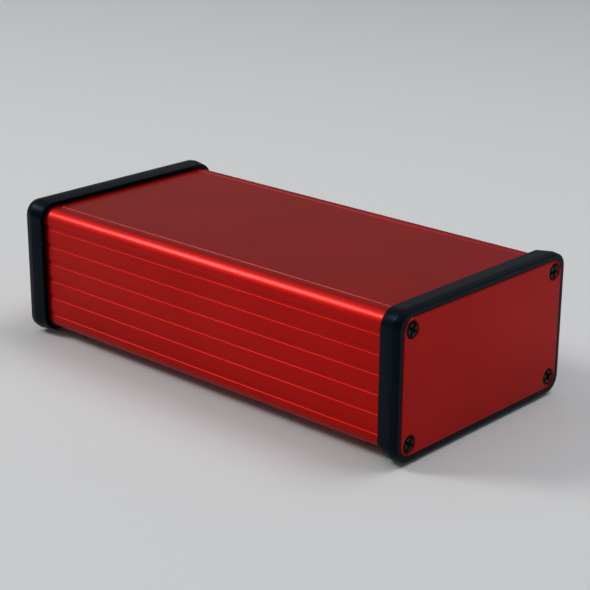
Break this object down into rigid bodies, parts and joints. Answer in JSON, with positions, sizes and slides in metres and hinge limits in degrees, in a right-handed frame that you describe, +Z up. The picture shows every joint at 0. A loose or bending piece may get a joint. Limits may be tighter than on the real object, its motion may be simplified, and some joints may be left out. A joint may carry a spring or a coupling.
{
  "type": "extruded aluminium enclosure",
  "caption": "Closed instrument box: red anodised extrusion with grooved sides, slide-in cover, black end bezels and screwed end panels, on rubber feet.",
  "frame": {"origin": "centre of the underside of the feet, on the surface the box stands on", "axes": "+X along the extrusion, out of the right end panel; +Y across the box; +Z up, out of the slide-in cover"},
  "size_m": [0.1656, 0.082, 0.0481],
  "materials": {
    "anodised_red": "fine matte anodised, red",
    "bezel_black": "moulded, satin",
    "screw_black": "black oxide on steel, satin",
    "foot_rubber": "matte rubber"
  },
  "bodies": {
    "root": {"extruded_body": "anodised_red", "slide_cover": "anodised_red", "bezel_right": "bezel_black", "bezel_left": "bezel_black", "panel_right": "anodised_red", "panel_left": "anodised_red", "screw_right_1": "screw_black", "screw_right_2": "screw_black", "screw_right_3": "screw_black", "screw_right_4": "screw_black", "screw_left_1": "screw_black", "screw_left_2": "screw_black", "screw_left_3": "screw_black", "screw_left_4": "screw_black", "foot_1": "foot_rubber", "foot_2": "foot_rubber", "foot_3": "foot_rubber", "foot_4": "foot_rubber"}
  },
  "joints": []
}
